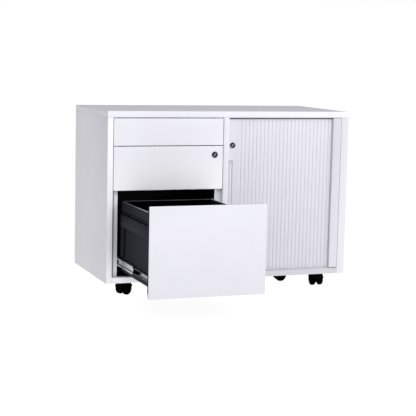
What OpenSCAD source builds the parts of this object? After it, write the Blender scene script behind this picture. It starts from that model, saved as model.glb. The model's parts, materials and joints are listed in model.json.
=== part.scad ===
// Mobile office caddy: three drawers beside a compartment closed by a sideways-sliding tambour door.
// Origin: on the floor, midway between the cabinet's back and the open file drawer's front, and midway
// across. +X right, +Y towards the back, +Z up.

/* [Cabinet] */
// Overall width
cabinet_w = 900; // [880:5:960]
// Depth of the closed cabinet
cabinet_d = 430; // [430:2:480]
// Height of the steel body, without the casters
body_h = 588; // [588:2:640]
// Height of the top panel's edge
top_edge = 21.5; // [20:0.5:26]
// Height of the bottom rail
rail_h = 20; // [18:0.5:26]
// Thickness of the steel sheet
sheet = 1.2; // [1:0.1:1.4]

/* [Columns] */
// Width of the left side's front edge
left_stile = 20; // [20:0.5:24]
// Clear width of the drawer column
column_w = 398.5; // [380:0.5:400]
// Width of the centre divider
divider_w = 19.5; // [19:0.5:26]
// Width of the right side's front edge
right_stile = 28; // [26:0.5:30]
// Width of the cover over the tambour's corner
cover_w = 32; // [30:0.5:34]

/* [Drawers] */
// Gap round each drawer front
reveal = 2.5; // [2:0.1:3]
// Height of the upper drawer's front
upper_front_h = 93; // [90:1:100]
// Height of the middle drawer's front
middle_front_h = 150; // [146:1:156]
// Thickness of a drawer front
front_t = 18; // [16:0.5:18]
// How far the file drawer stands open
file_open = 402; // [0:1:402]
// Length of a drawer box behind its front
box_l = 391.5; // [350:0.5:392]

/* [Slides] */
// Thickness of a closed slide
slide_t = 12.7; // [12.7:0.1:13.2]
// Height of a slide's cabinet member
slide_h = 35; // [34:0.5:36]

/* [Tambour] */
// Pitch of the slats
slat_pitch = 14.6; // [14:0.1:15]
// Thickness of a slat
slat_t = 8; // [7:0.5:8]
// Number of slats that have already turned the corner
turned_slats = 2; // [1:1:2]
// Radius of the track's corner, to the slats' middle
corner_r = 28; // [26:1:30]

/* [Casters] */
// Height of the body's lower edge over the floor
caster_h = 48; // [48:0.5:52]
// Radius of a wheel
wheel_r = 21; // [20:0.5:21]
// Distance from the swivel axis to the axle
trail = 16; // [14:1:18]

/* [Hidden] */
$fn = 48;
cut = 1;

// Heights are measured from the body's lower edge, widths from its left side.
top_z = body_h - top_edge;
divider_x = left_stile + column_w;
bay_x = divider_x + divider_w;
cover_x = cabinet_w - right_stile - cover_w;
back_y = cabinet_d - 2 * sheet;

// The stepped front edge behind which each drawer front closes
ledge_y = front_t + 2;
ledge_w = 23;
lip_l = 40;
rear_return = 16;

// Drawers, from the top: upper, middle, file
UPPER = 0;
MIDDLE = 1;
FILE = 2;
front_x = left_stile + reveal - 0.5;
front_w = column_w - 2 * reveal + 1;
file_front_h = top_z - rail_h - 4 * reveal - upper_front_h - middle_front_h;
front_h = [upper_front_h, middle_front_h, file_front_h];
front_z = [
    top_z - reveal - upper_front_h,
    top_z - 2 * reveal - upper_front_h - middle_front_h,
    rail_h + reveal
];
slide_x = left_stile + ledge_w;
box_x = slide_x + slide_t;
box_w = column_w - 2 * (ledge_w + slide_t);
box_z = [front_z[UPPER] + 11, front_z[MIDDLE] + 11.5, front_z[FILE] + 19.5];
box_h = [62, 88, 238];
box_wall = 1.2;
slide_z = [front_z[UPPER] + 29, front_z[MIDDLE] + 30, front_z[FILE] + 51];
open_by = [0, 0, file_open];
slide_start = ledge_y + 5;
slide_l = 395;
slide_wall = 1.2;
drawer_travel = 402;
// The middle member of a slide makes half of the drawer's travel.
middle_share = 0.5;

// The front plane, so that the object with its file drawer open is centred on the origin
front_y = (drawer_travel - cabinet_d) / 2;

// Locks
lock_x = front_x + front_w - 30.5;
lock_z = front_z[MIDDLE] + 119.5;
lock_r = 9;
plug_r = 7;
running_fit = 0.05;
cam_reach = 23;
cam_w = 10;
cam_t = 2;
hook_rise = 24;
hook_h = 8;

// Tambour
slat_y = 11;
slat_mid_y = slat_y + slat_t / 2;
lead_x = bay_x + 1.5;
lead_w = 34.5;
lead_y = 9;
lead_t = 14;
curtain_x = lead_x + lead_w;
flat_slats = floor((cover_x - curtain_x) / slat_pitch);
corner_x = curtain_x + flat_slats * slat_pitch;
slat_z = rail_h + 1;
slat_top_z = top_z - 3;
pull_x = lead_x + 2;
pull_z = 170;
pull_h = 249;
pull_w = 16;
pull_d = 9.5;
tambour_lock_x = lead_x + 15.5;
tambour_lock_z = 469.5;
tambour_lock_r = 8;

// Compartment behind the tambour
liner_x = corner_x + corner_r - slat_t / 2 - 11;
liner_y = slat_mid_y + corner_r + 8;
shelf_z = 286;
shelf_t = 18;
shelf_y = 42;
shelf_play = 2.5;

// Height at which the casters' plates meet the stiffeners
stiffener_z = 6;

// Casters: place across, place back, direction of the trail in degrees
caster_inset_x = 91;
caster_inset_y = 58;
CASTERS = [
    [caster_inset_x, caster_inset_y, 212],
    [cabinet_w - caster_inset_x, caster_inset_y, 270],
    [cabinet_w - 202, 159, -10],
    [caster_inset_x, cabinet_d - caster_inset_y, 250],
    [cabinet_w - caster_inset_x, cabinet_d - caster_inset_y, 300]
];
wheel_gap = 16.8;
wheel_w = 12.4;
wheel_cap_t = 1.8;
hood_r = wheel_r + 3;
axle_r = 3;
stem_r = 4;

// ---- shared shapes ----

// Children are placed from the body's left, front, lower corner.
module from_corner() {
    translate([-cabinet_w / 2, front_y, caster_h]) children();
}

// A box from one corner to the opposite one
module block(from, to) {
    translate(from) cube(to - from);
}

// A rectangle from one corner to the opposite one
module patch(from, to) {
    translate(from) square(to - from);
}

module column(z0, z1) {
    translate([0, 0, z0]) linear_extrude(z1 - z0) children();
}

// A cylinder along Y that starts at y0
module rod_y(x, z, r, y0, y1) {
    translate([x, y0, z]) rotate([-90, 0, 0]) cylinder(r = r, h = y1 - y0);
}

module moved_drawer(i) {
    from_corner() translate([0, -open_by[i], 0]) children();
}

// Draws a left-hand slide and its mirror image on the right of the drawer column.
module slide_pair() {
    middle = left_stile + column_w / 2;
    children();
    translate([2 * middle, 0, 0]) mirror([1, 0, 0]) children();
}

// ---- fixed body ----

module top_panel() {
    lip = 14;
    color("white") from_corner() difference() {
        block([0, 0, top_z], [cabinet_w, cabinet_d, body_h]);
        block([sheet, sheet, top_z + sheet], [cabinet_w - sheet, cabinet_d - sheet, body_h - sheet]);
        block([lip, lip, top_z - cut], [cabinet_w - lip, cabinet_d - lip, top_z + 2 * sheet]);
    }
}

module left_side() {
    color("white") from_corner() {
        column(0, top_z) {
            patch([0, 0], [sheet, cabinet_d]);
            patch([0, 0], [left_stile, sheet]);
            patch([0, cabinet_d - sheet], [rear_return, cabinet_d]);
        }
        column(rail_h, top_z) {
            patch([left_stile - sheet, 0], [left_stile, ledge_y + sheet]);
            patch([left_stile - sheet, ledge_y], [slide_x, ledge_y + sheet]);
            patch([slide_x - sheet, ledge_y], [slide_x, ledge_y + lip_l]);
        }
    }
}

module right_side() {
    stile_x = cabinet_w - right_stile;
    color("white") from_corner() {
        column(0, top_z) {
            patch([cabinet_w - sheet, 0], [cabinet_w, cabinet_d]);
            patch([stile_x, 0], [cabinet_w, sheet]);
            patch([cabinet_w - rear_return, cabinet_d - sheet], [cabinet_w, cabinet_d]);
        }
        column(rail_h, top_z) {
            patch([stile_x, 0], [stile_x + sheet, 12]);
        }
    }
}

module back_panel() {
    color("white") from_corner()
        block([sheet, back_y, 0], [cabinet_w - sheet, back_y + sheet, top_z]);
}

// Floor tray with a front rail and returns under it
module base_panel() {
    right_x = cabinet_w - right_stile;
    lip = 25;
    color("white") from_corner() {
        block([sheet, sheet, rail_h - sheet], [cabinet_w - sheet, back_y, rail_h]);
        block([left_stile, 0, 0], [right_x, sheet, rail_h]);
        block([left_stile, 0, 0], [right_x, lip, sheet]);
        block([sheet, sheet, 0], [2 * sheet, back_y, rail_h]);
        block([cabinet_w - 2 * sheet, sheet, 0], [cabinet_w - sheet, back_y, rail_h]);
        block([sheet, back_y - sheet, 0], [cabinet_w - sheet, back_y, rail_h]);
    }
}

// Channels under the floor that carry the casters
module base_stiffeners() {
    half = 30;
    y0 = 27;
    color("white") from_corner() for (x = [CASTERS[0][0], CASTERS[2][0], CASTERS[1][0]]) {
        translate([x, 0, 0]) difference() {
            block([-half, y0, stiffener_z], [half, back_y - 3, rail_h - sheet]);
            block([-half + sheet, y0 - cut, stiffener_z + sheet], [half - sheet, back_y, rail_h]);
        }
    }
}

module centre_divider() {
    left = divider_x;
    right = divider_x + divider_w;
    slot_y = lead_y + lead_t;
    color("white") from_corner() difference() {
        column(rail_h, top_z) {
            difference() {
                patch([left, 0], [right, back_y - 1]);
                patch([left + sheet, sheet], [right - sheet, back_y - 1 - sheet]);
            }
            patch([left - ledge_w, ledge_y], [left + sheet, ledge_y + sheet]);
            patch([left - ledge_w, ledge_y], [left - ledge_w + sheet, ledge_y + lip_l]);
        }
        // window through which the drawer lock's cam reaches behind the ledge
        block(
            [left - ledge_w - cut, ledge_y + sheet, lock_z - 8],
            [left - 1, ledge_y + 7, lock_z + cam_reach]
        );
        // slot that the tambour lock's cam enters
        block(
            [right - 2 * sheet, slot_y, tambour_lock_z - 8],
            [right + cut, slot_y + 6, tambour_lock_z + 18]
        );
        for (i = [UPPER, MIDDLE, FILE]) hook_slot(i);
    }
}

// Opening in the divider's lip for one hook of the lock bar
module hook_slot(i) {
    z = slide_z[i] + hook_rise;
    x = divider_x - ledge_w;
    block([x - cut, ledge_y + 9, z - 2], [x + 2 * sheet, ledge_y + 27, z + hook_h + 9]);
}

// Rear channels that hold the slides' back ends
module slide_posts() {
    y0 = back_y - 50;
    y1 = back_y - 1;
    color("white") from_corner() column(rail_h, top_z - 1) {
        difference() {
            patch([sheet, y0], [slide_x, y1]);
            patch([sheet + sheet, y0 + sheet], [slide_x - sheet, y1 + cut]);
        }
        difference() {
            patch([divider_x - ledge_w, y0], [divider_x, y1]);
            patch([divider_x - ledge_w + sheet, y0 + sheet], [divider_x - sheet, y1 + cut]);
        }
    }
}

// Folded strip that hides the tambour's corner
module track_cover() {
    right = cover_x + cover_w - 0.8;
    color("white") from_corner() column(rail_h + 2.5, top_z - 1.5) {
        patch([cover_x, 1], [right, 1 + sheet]);
        patch([cover_x, 1], [cover_x + sheet, 7]);
        patch([right - sheet, 1], [right, 12]);
    }
}

// Inner wall that separates the stored tambour from the compartment
module side_liner() {
    foot = 6;
    z1 = top_z - 6;
    color("white") from_corner() {
        block([liner_x, liner_y, rail_h], [liner_x + sheet, back_y - 1, z1]);
        block([liner_x, liner_y, rail_h], [liner_x + foot, back_y - 1, rail_h + sheet]);
        block([liner_x, liner_y, z1 - sheet], [liner_x + foot, back_y - 1, z1]);
    }
}

// Plan of the tambour's path: straight, a quarter turn, then straight back
module track_path(w) {
    turn_y = slat_mid_y + corner_r;
    patch([bay_x + 1, slat_mid_y - w / 2], [corner_x, slat_mid_y + w / 2]);
    translate([corner_x, turn_y]) intersection() {
        difference() {
            circle(corner_r + w / 2, $fn = 96);
            circle(corner_r - w / 2, $fn = 96);
        }
        patch([0, -2 * corner_r], [2 * corner_r, 0]);
    }
    patch([corner_x + corner_r - w / 2, turn_y], [corner_x + corner_r + w / 2, back_y - 2]);
}

// Both guide walls beside the slats
module track_walls() {
    play = 2;
    difference() {
        track_path(slat_t + play + 4.4);
        track_path(slat_t + play);
    }
}

module top_track() {
    web_t = 1;
    color("dimgray") from_corner() {
        column(top_z - 5.3, top_z) track_walls();
        column(top_z - web_t, top_z) track_path(slat_t + 3);
    }
}

module bottom_track() {
    color("gainsboro") from_corner() column(rail_h, rail_h + 3) track_walls();
}

// ---- compartment ----

module shelf() {
    x0 = bay_x + shelf_play;
    x1 = liner_x - shelf_play;
    y1 = back_y - 6;
    lip = 12;
    color("white") from_corner() difference() {
        block([x0, shelf_y, shelf_z], [x1, y1, shelf_z + shelf_t]);
        block(
            [x0 + sheet, shelf_y + sheet, shelf_z + sheet],
            [x1 - sheet, y1 - sheet, shelf_z + shelf_t - sheet]
        );
        block([x0 + lip, shelf_y + lip, shelf_z - cut], [x1 - lip, y1 - lip, shelf_z + 2 * sheet]);
    }
}

// Four angles that the shelf rests on
module shelf_clips() {
    clip_t = 1.2;
    clip_w = 14;
    reach = 11;
    z0 = shelf_z - 8;
    z1 = shelf_z + 6;
    color("silver") from_corner() for (y = [shelf_y + 30, back_y - 60]) {
        block([bay_x, y, z0], [bay_x + clip_t, y + clip_w, z1]);
        block([bay_x, y, shelf_z - clip_t], [bay_x + reach, y + clip_w, shelf_z]);
        block([liner_x - clip_t, y, z0], [liner_x, y + clip_w, z1]);
        block([liner_x - reach, y, shelf_z - clip_t], [liner_x, y + clip_w, shelf_z]);
    }
}

// ---- fasteners ----

// Heads of the screws that hold the back panel to the sides and the divider
module panel_screws() {
    head_r = 3.6;
    edge = 30;
    middle_x = divider_x + divider_w / 2;
    color("silver") from_corner()
        for (x = [edge, middle_x, cabinet_w - edge], z = [edge, top_z / 2, top_z - edge])
            rod_y(x, z, head_r, back_y + sheet, cabinet_d);
}

// ---- slides ----

// A channel along Y: a web from web_x and two flanges from x0 to x1
module slide_bar(z, y0, y1, web_x, x0, x1, half) {
    block([web_x, y0, z - half], [web_x + slide_wall, y1, z + half]);
    block([x0, y0, z + half - slide_wall], [x1, y1, z + half]);
    block([x0, y0, z - half], [x1, y1, z - half + slide_wall]);
}

// Cabinet member: a channel whose lips face the drawer
module outer_slides(i) {
    lip = 2.7;
    z = slide_z[i];
    x1 = slide_x + 9.5;
    y0 = slide_start - 3;
    y1 = slide_start + slide_l;
    half = slide_h / 2;
    color("silver") from_corner() slide_pair() {
        slide_bar(z, y0, y1, slide_x, slide_x, x1, half);
        block([x1 - slide_wall, y0, z + half - lip], [x1, y1, z + half]);
        block([x1 - slide_wall, y0, z - half], [x1, y1, z - half + lip]);
    }
}

// Middle member, which runs out by a share of the drawer's travel
module centre_slides(i) {
    shift = -middle_share * open_by[i];
    x0 = slide_x + 2;
    half = slide_h / 2 - 3.5;
    color("silver") from_corner() translate([0, shift, 0]) slide_pair()
        slide_bar(slide_z[i], slide_start, slide_start + slide_l, x0, x0, x0 + 8.5, half);
}

// Drawer member: a channel whose open side faces the cabinet
module inner_slides(i) {
    half = slide_h / 2 - 8;
    x1 = slide_x + slide_t;
    color("silver") moved_drawer(i) slide_pair() slide_bar(
        slide_z[i], front_t + 2, slide_start + slide_l, x1 - slide_wall, slide_x + 4.5, x1, half
    );
}

// Release levers in the drawer members: a catch plate just ahead of the middle member at full
// extension, and a finger tail in the channel
module slide_levers(i) {
    plate_l = 21;
    plate_half = 12;
    y1 = slide_start + (1 - middle_share) * drawer_travel - 2;
    z = slide_z[i];
    x0 = slide_x + 3.6;
    x1 = slide_x + slide_t - slide_wall;
    color([0.08, 0.08, 0.08]) moved_drawer(i) slide_pair() {
        block([x0, y1 - plate_l, z - plate_half], [x0 + 0.8, y1, z + plate_half]);
        block([x0, y1 - plate_l + 4, z - 6], [x1, y1 - 4, z + 6]);
        block([x0 + 3, y1 - 56, z - 3.5], [x1, y1 - 10, z + 3.5]);
    }
}

// ---- drawers ----

// A folded front: skin, returns and a narrow inner lip
module drawer_front(i) {
    lip = 12;
    x1 = front_x + front_w;
    z1 = front_z[i] + front_h[i];
    moved_drawer(i) difference() {
        block([front_x, 0, front_z[i]], [x1, front_t, z1]);
        block([front_x + sheet, sheet, front_z[i] + sheet], [x1 - sheet, front_t - sheet, z1 - sheet]);
        block([front_x + lip, front_t - 2 * sheet, front_z[i] + lip], [x1 - lip, front_t + cut, z1 - lip]);
        if (i == MIDDLE) rod_y(lock_x, lock_z, lock_r, -cut, front_t + cut);
    }
}

// Open box with rolled rims, a stud for the lock bar and a plate that closes the front's back
module drawer_box(i) {
    rim_r = 2.2;
    inset = 4;
    z0 = box_z[i];
    z1 = z0 + box_h[i];
    y0 = front_t;
    y1 = front_t + box_l;
    x1 = box_x + box_w;
    stud_r = 2.5;
    stud_l = 11;
    stud_y = ledge_y + 31;
    stud_z = slide_z[i] + hook_rise + hook_h + stud_r + 1;
    moved_drawer(i) {
        difference() {
            block(
                [front_x + inset, y0, front_z[i] + inset],
                [front_x + front_w - inset, y0 + box_wall, front_z[i] + front_h[i] - inset]
            );
            if (i == MIDDLE) rod_y(lock_x, lock_z, lock_r, y0 - cut, y0 + box_wall + cut);
        }
        difference() {
            block([box_x, y0, z0], [x1, y1, z1]);
            block([box_x + box_wall, y0 + box_wall, z0 + box_wall], [x1 - box_wall, y1 - box_wall, z1 + cut]);
            block([box_x - cut, y0 - cut, z1 - 6], [x1 + cut, y0 + box_wall, z1 + cut]);
        }
        for (x = [box_x + rim_r - box_wall, x1 - rim_r + box_wall])
            rod_y(x, z1, rim_r, y0 + box_wall, y1);
        translate([box_x, y1 - box_wall / 2, z1]) rotate([0, 90, 0]) cylinder(r = rim_r - 0.4, h = box_w);
        translate([x1 - cut, stud_y, stud_z]) rotate([0, 90, 0]) cylinder(r = stud_r, h = stud_l + cut);
        if (i == FILE) file_box_sides(z0, z1, y0 + box_wall, y1);
    }
}

// Raised rail, bead and rear corner strip on both sides of the file drawer
module file_box_sides(z0, z1, y0, y1) {
    proud = 5.5;
    rail_z0 = z1 - 82.5;
    rail_z1 = z1 - 42;
    bead_r = 1.5;
    strip_w = 32;
    strip_z = z0 + 52;
    slide_pair() {
        block([box_x - proud, y0, rail_z0], [box_x, y1, rail_z1]);
        rod_y(box_x, rail_z1 + 11, bead_r, y0, y1);
        block([box_x - proud, y1 - strip_w, strip_z], [box_x, y1, rail_z0]);
    }
}

// Bars that carry hanging files
module file_rails() {
    bar_t = 1.2;
    z_mid = box_z[FILE] + box_h[FILE] - 6;
    y0 = front_t + 8;
    y1 = front_t + box_l - 8;
    x0 = box_x + box_wall;
    x1 = box_x + 9;
    color([0.12, 0.12, 0.13]) moved_drawer(FILE) slide_pair() {
        block([x0, y0, z_mid - 16], [x0 + bar_t, y1, z_mid]);
        block([x0, y0, z_mid - bar_t], [x1, y1, z_mid]);
        block([x1 - bar_t, y0, z_mid - bar_t], [x1, y1, z_mid + 5.5]);
    }
}

module upper_front() { color("white") drawer_front(UPPER); }
module middle_front() { color("white") drawer_front(MIDDLE); }
module file_front() { color("white") drawer_front(FILE); }
module upper_box() { color([0.16, 0.16, 0.17]) drawer_box(UPPER); }
module middle_box() { color([0.16, 0.16, 0.17]) drawer_box(MIDDLE); }
module file_box() { color([0.16, 0.16, 0.17]) drawer_box(FILE); }

// ---- locks ----

// Housing: a bezel on the face and a barrel through the panel
module lock_body(x, z, face_y, barrel_l, bezel_r, barrel_r) {
    bezel_t = 2;
    difference() {
        union() {
            rod_y(x, z, bezel_r, face_y - bezel_t, face_y);
            rod_y(x, z, barrel_r, face_y - cut, face_y + barrel_l);
        }
        rod_y(x, z, plug_r, face_y - bezel_t - cut, face_y + barrel_l + cut);
    }
}

// Plug with its keyway and the cam behind it, which points up when unlocked
module lock_plug(x, z, face_y, barrel_l) {
    key_slot = [1.4, 9, 8];
    nose_y = face_y - 1.6;
    cam_y = face_y + barrel_l + 0.6;
    difference() {
        rod_y(x, z, plug_r - running_fit, nose_y, cam_y + cam_t);
        translate([x, nose_y, z]) rotate([0, 45, 0]) cube(key_slot, center = true);
    }
    block([x - cam_w / 2, cam_y, z], [x + cam_w / 2, cam_y + cam_t, z + cam_reach]);
}

module drawer_lock_body() {
    color("gray") moved_drawer(MIDDLE)
        lock_body(lock_x, lock_z, 0, front_t + 2.4, lock_r + 2, lock_r - running_fit);
}

module drawer_lock_plug() {
    color("silver") moved_drawer(MIDDLE)
        lock_plug(lock_x, lock_z, 0, front_t + 3.6);
}

module tambour_lock_body() {
    color("gray") from_corner()
        lock_body(
            tambour_lock_x, tambour_lock_z, lead_y, lead_t,
            tambour_lock_r + 2, tambour_lock_r - running_fit
        );
}

module tambour_lock_plug() {
    color("silver") from_corner()
        lock_plug(tambour_lock_x, tambour_lock_z, lead_y, lead_t);
}

// Upright bar whose hooks rise behind the drawers' studs
module lock_bar() {
    bar_t = 3;
    hook_l = 8;
    x0 = divider_x - ledge_w + 3;
    y0 = ledge_y + 12;
    y1 = ledge_y + 24;
    color("silver") from_corner() {
        block([x0, y0, rail_h + 10], [x0 + bar_t, y1, top_z - 12]);
        for (i = [UPPER, MIDDLE, FILE]) {
            z = slide_z[i] + hook_rise;
            block([x0 - hook_l, y0, z], [x0, y1, z + hook_h]);
        }
    }
}

// ---- tambour ----

// Hollow leading slat with a window for the finger pull and a hole for the lock
module lead_slat() {
    wall = 1.6;
    x1 = lead_x + lead_w;
    y1 = lead_y + lead_t;
    z0 = slat_z + 3;
    z1 = slat_top_z - 3;
    color("white") from_corner() difference() {
        block([lead_x, lead_y, z0], [x1, y1, z1]);
        block([lead_x + wall, lead_y + wall, z0 + wall], [x1 - wall, y1 - wall, z1 - wall]);
        block([pull_x, lead_y - cut, pull_z], [pull_x + pull_w, lead_y + 2 * wall, pull_z + pull_h]);
        rod_y(tambour_lock_x, tambour_lock_z, tambour_lock_r, lead_y - cut, y1 + cut);
    }
}

// Recessed cup with a grip rib, fixed in the leading slat
module finger_pull() {
    skin = 1.4;
    cap = 7.4;
    gap = 0.1;
    rib_w = 3;
    x0 = pull_x + gap;
    x1 = pull_x + pull_w - gap;
    z0 = pull_z + gap;
    z1 = pull_z + pull_h - gap;
    y0 = lead_y - 0.6;
    y1 = lead_y + pull_d;
    color("silver") from_corner() {
        difference() {
            block([x0, y0, z0], [x1, y1, z1]);
            block([x0 + skin, y0 - cut, z0 + cap], [x1 - skin, y1 - skin, z1 - cap]);
        }
        block([x1 - skin - rib_w, y0, z0 + skin], [x1 - skin, y0 + skin, z1 - skin]);
    }
}

// Plan of one slat: a ribbed face on a thin hinge web
module slat_plan() {
    groove = 1.2;
    corner = 1.6;
    web_t = 1.3;
    overlap = 0.05;
    x0 = groove / 2;
    x1 = slat_pitch - groove / 2;
    face_y = -slat_t / 2;
    web_y = slat_t / 2 - web_t;
    patch([x0 + corner, face_y], [x1 - corner, web_y]);
    patch([x0, face_y + corner], [x1, web_y]);
    for (x = [x0 + corner, x1 - corner]) translate([x, face_y + corner]) circle(corner);
    patch([0, web_y], [slat_pitch + overlap, slat_t / 2]);
}

// The slats in the flat stretch, then those on the corner
module curtain_plan() {
    turn = slat_pitch / corner_r * 180 / PI;
    for (k = [0:flat_slats - 1])
        translate([curtain_x + k * slat_pitch, slat_mid_y]) slat_plan();
    for (k = [0:turned_slats - 1])
        translate([corner_x, slat_mid_y + corner_r]) rotate(k * turn + turn / 2)
            translate([-slat_pitch / 2, -corner_r]) slat_plan();
}

module tambour_curtain() {
    color("white") from_corner() column(slat_z, slat_top_z) curtain_plan();
}

// ---- casters ----

// Children are placed over caster k's swivel axis, on the floor.
module over_caster(k) {
    translate([CASTERS[k][0] - cabinet_w / 2, CASTERS[k][1] + front_y, 0]) children();
}

// The same, turned so that the trail points along +X.
module at_caster(k) {
    over_caster(k) rotate(CASTERS[k][2]) children();
}

// Mounting plate and stem socket of each caster
module caster_plates() {
    half = 22;
    plate_t = 2.5;
    cup_r = 10;
    under = caster_h + stiffener_z;
    cup_z = caster_h - 1.5;
    color([0.2, 0.2, 0.21]) for (k = [0:len(CASTERS) - 1])
        over_caster(k) difference() {
            union() {
                block([-half, -half, under - plate_t], [half, half, under]);
                translate([0, 0, cup_z]) cylinder(r = cup_r, h = under - cup_z);
            }
            translate([0, 0, cup_z - cut])
                cylinder(r = stem_r + running_fit, h = under - cup_z + 2 * cut);
        }
}

// Fender over both wheels, the web between them, the axle and the swivel stem
module hood(k) {
    web = wheel_gap - 1.6;
    span = wheel_gap + 2 * wheel_w - 0.8;
    axle_l = wheel_gap + 2 * (wheel_w - wheel_cap_t - 0.4);
    far = 60;
    web_z = wheel_r - 8;
    brim_z = wheel_r + 6;
    shoulder_z = caster_h - 7;
    shoulder_r = 11;
    color([0.07, 0.07, 0.075]) at_caster(k) {
        difference() {
            translate([trail, 0, wheel_r]) rotate([90, 0, 0])
                cylinder(r = hood_r, h = span, center = true, $fn = 96);
            for (side = [-1, 1]) translate([trail, side * (web + far) / 2, wheel_r]) {
                rotate([90, 0, 0]) cylinder(r = wheel_r + 1, h = far, center = true, $fn = 96);
                translate([0, 0, brim_z - wheel_r - far / 2]) cube([2 * far, far, far], center = true);
            }
            block([-far, -far, -hood_r], [far, far, web_z]);
        }
        translate([trail, 0, wheel_r]) rotate([90, 0, 0]) cylinder(r = axle_r, h = axle_l, center = true);
        translate([0, 0, shoulder_z - 12]) cylinder(r = web / 2, h = 14);
        translate([0, 0, shoulder_z]) cylinder(r = shoulder_r, h = 4.6);
        translate([0, 0, shoulder_z]) cylinder(r = stem_r, h = 12);
    }
}

// A wheel with a rounded tread, a recessed face and a blind axle bore
module wheel(k, side) {
    w = wheel_w;
    soft = 3;
    dish = 1;
    color([0.05, 0.05, 0.055]) at_caster(k) translate([trail, side * wheel_gap / 2, wheel_r])
        rotate([-90 * side, 0, 0]) rotate_extrude($fn = 96) difference() {
            union() {
                patch([0, 0], [wheel_r - soft, w]);
                patch([0, soft], [wheel_r, w - soft]);
                for (y = [soft, w - soft]) translate([wheel_r - soft, y]) circle(soft);
            }
            patch([-2 * wheel_r, -cut], [0, w + cut]);
            patch([-cut, -cut], [axle_r + running_fit, w - wheel_cap_t]);
            patch([axle_r + 4, w - dish], [wheel_r - 5, w + cut]);
        }
}

top_panel();
left_side();
right_side();
back_panel();
base_panel();
base_stiffeners();
centre_divider();
slide_posts();
track_cover();
side_liner();
top_track();
bottom_track();
shelf();
shelf_clips();
panel_screws();
caster_plates();
outer_slides(UPPER);  // outer_slides_upper
outer_slides(MIDDLE);  // outer_slides_middle
outer_slides(FILE);  // outer_slides_file
centre_slides(UPPER);  // centre_slides_upper
centre_slides(MIDDLE);  // centre_slides_middle
centre_slides(FILE);  // centre_slides_file
upper_front();
upper_box();
inner_slides(UPPER);  // inner_slides_upper
slide_levers(UPPER);  // slide_levers_upper
middle_front();
middle_box();
inner_slides(MIDDLE);  // inner_slides_middle
slide_levers(MIDDLE);  // slide_levers_middle
drawer_lock_body();
drawer_lock_plug();
lock_bar();
file_front();
file_box();
inner_slides(FILE);  // inner_slides_file
slide_levers(FILE);  // slide_levers_file
file_rails();
lead_slat();
finger_pull();
tambour_curtain();
tambour_lock_body();
tambour_lock_plug();
hood(0);  // hood_front_left
hood(1);  // hood_front_right
hood(2);  // hood_middle
hood(3);  // hood_rear_left
hood(4);  // hood_rear_right
wheel(0, 1);  // wheel_front_left_a
wheel(0, -1);  // wheel_front_left_b
wheel(1, 1);  // wheel_front_right_a
wheel(1, -1);  // wheel_front_right_b
wheel(2, 1);  // wheel_middle_a
wheel(2, -1);  // wheel_middle_b
wheel(3, 1);  // wheel_rear_left_a
wheel(3, -1);  // wheel_rear_left_b
wheel(4, 1);  // wheel_rear_right_a
wheel(4, -1);  // wheel_rear_right_b
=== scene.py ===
"""Looks of the mobile tambour caddy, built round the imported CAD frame. Metres, +Z up, front towards -Y."""
import json
import math

import bmesh
import bpy
from mathutils import Matrix, Vector


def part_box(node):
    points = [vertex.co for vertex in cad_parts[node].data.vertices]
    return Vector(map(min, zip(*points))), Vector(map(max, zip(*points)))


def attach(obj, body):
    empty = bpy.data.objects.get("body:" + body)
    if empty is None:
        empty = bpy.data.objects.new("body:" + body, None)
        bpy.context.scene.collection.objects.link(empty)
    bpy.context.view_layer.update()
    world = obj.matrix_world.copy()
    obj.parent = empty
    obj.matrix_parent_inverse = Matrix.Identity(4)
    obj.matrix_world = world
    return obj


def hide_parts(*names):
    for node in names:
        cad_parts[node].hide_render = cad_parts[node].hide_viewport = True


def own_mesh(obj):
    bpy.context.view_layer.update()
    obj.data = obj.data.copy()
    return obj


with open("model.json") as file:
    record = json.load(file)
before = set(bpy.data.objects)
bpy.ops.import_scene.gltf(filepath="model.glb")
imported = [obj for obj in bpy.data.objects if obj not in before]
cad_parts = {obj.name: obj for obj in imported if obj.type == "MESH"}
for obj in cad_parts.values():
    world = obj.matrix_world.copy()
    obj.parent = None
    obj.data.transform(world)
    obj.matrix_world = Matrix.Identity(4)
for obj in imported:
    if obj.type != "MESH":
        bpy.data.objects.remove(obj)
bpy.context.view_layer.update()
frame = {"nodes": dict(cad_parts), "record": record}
nodes = frame["nodes"]

MM = 0.001
CABINET_W = 900
CABINET_D = 430
FRONT_Y = -14
BODY_H = 588
CASTER_H = 48
TOP_Z = 566.5
LATHE_STEPS = 72
SCREW_STEPS = 24
SIDES = (1, -1)
BEVEL_ANGLE = 40
SHARP_ANGLE = 35


def at(x, y, z):
    """A point from the body's left, front, lower corner, in millimetres, as metres in the row frame."""
    return Vector(((x - CABINET_W / 2) * MM, (y + FRONT_Y) * MM, (z + CASTER_H) * MM))


# ---------------------------------------------------------------- materials


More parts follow.
